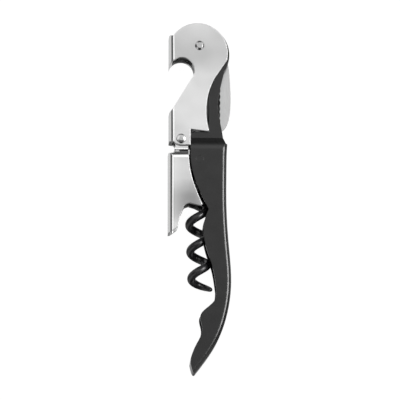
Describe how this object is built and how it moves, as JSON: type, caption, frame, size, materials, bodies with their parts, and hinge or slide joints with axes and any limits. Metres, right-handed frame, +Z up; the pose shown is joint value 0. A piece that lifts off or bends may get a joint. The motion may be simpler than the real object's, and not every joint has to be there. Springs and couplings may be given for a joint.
{
  "type": "waiters corkscrew",
  "caption": "Folding waiters corkscrew with a two-part hinged lever, cap lifter, coiled worm, serrated foil blade and painted steel handle.",
  "frame": {"origin": "under the middle of the closed tool, on the surface that it lies on", "axes": "+Y along the tool to its hinged head, +X to the back of the handle where the foil blade lies, +Z up through the thickness, parallel to every hinge"},
  "size_m": [0.0214, 0.1202, 0.0122],
  "materials": {
    "painted_handle": "satin dark grey paint",
    "polished_lever": "polished plate",
    "rivet_steel": "polished",
    "blade_steel": "fine brushed",
    "worm_coating": "black low-friction coating, semi-gloss",
    "bush_steel": "turned",
    "painted_pin": "painted over with the handle"
  },
  "bodies": {
    "handle_body": {"handle": "painted_handle", "worm_pin": "painted_pin", "blade_spacer_top": "bush_steel", "blade_spacer_bottom": "bush_steel"},
    "lever_body": {"upper_lever": "polished_lever", "head_rivet": "rivet_steel", "knuckle_rivet": "rivet_steel"},
    "foot_body": {"lower_lever": "polished_lever"},
    "worm_body": {"worm": "worm_coating"},
    "blade_body": {"foil_blade": "blade_steel"}
  },
  "joints": [
    {"name": "lever_pivot", "type": "hinge", "parent": "handle_body", "child": "lever_body", "pos_m": [-0.0001, 0.0524, 0.0061], "axis": [0, 0, -1], "range_deg": [0, 135]},
    {"name": "foot_pivot", "type": "hinge", "parent": "lever_body", "child": "foot_body", "pos_m": [-0.0064, 0.0201, 0.0061], "axis": [0, 0, -1], "range_deg": [0, 20]},
    {"name": "blade_pivot", "type": "hinge", "parent": "handle_body", "child": "blade_body", "pos_m": [-0.0001, 0.0524, 0.0061], "axis": [0, 0, 1], "range_deg": [0, 170]},
    {"name": "worm_pivot", "type": "hinge", "parent": "handle_body", "child": "worm_body", "pos_m": [-0.0001, 0.0131, 0.0061], "axis": [0, 0, -1], "range_deg": [0, 90]}
  ],
  "couplings": [
    {"joint": "worm_pivot", "follows": "lever_pivot", "ratio": 0.66}
  ]
}
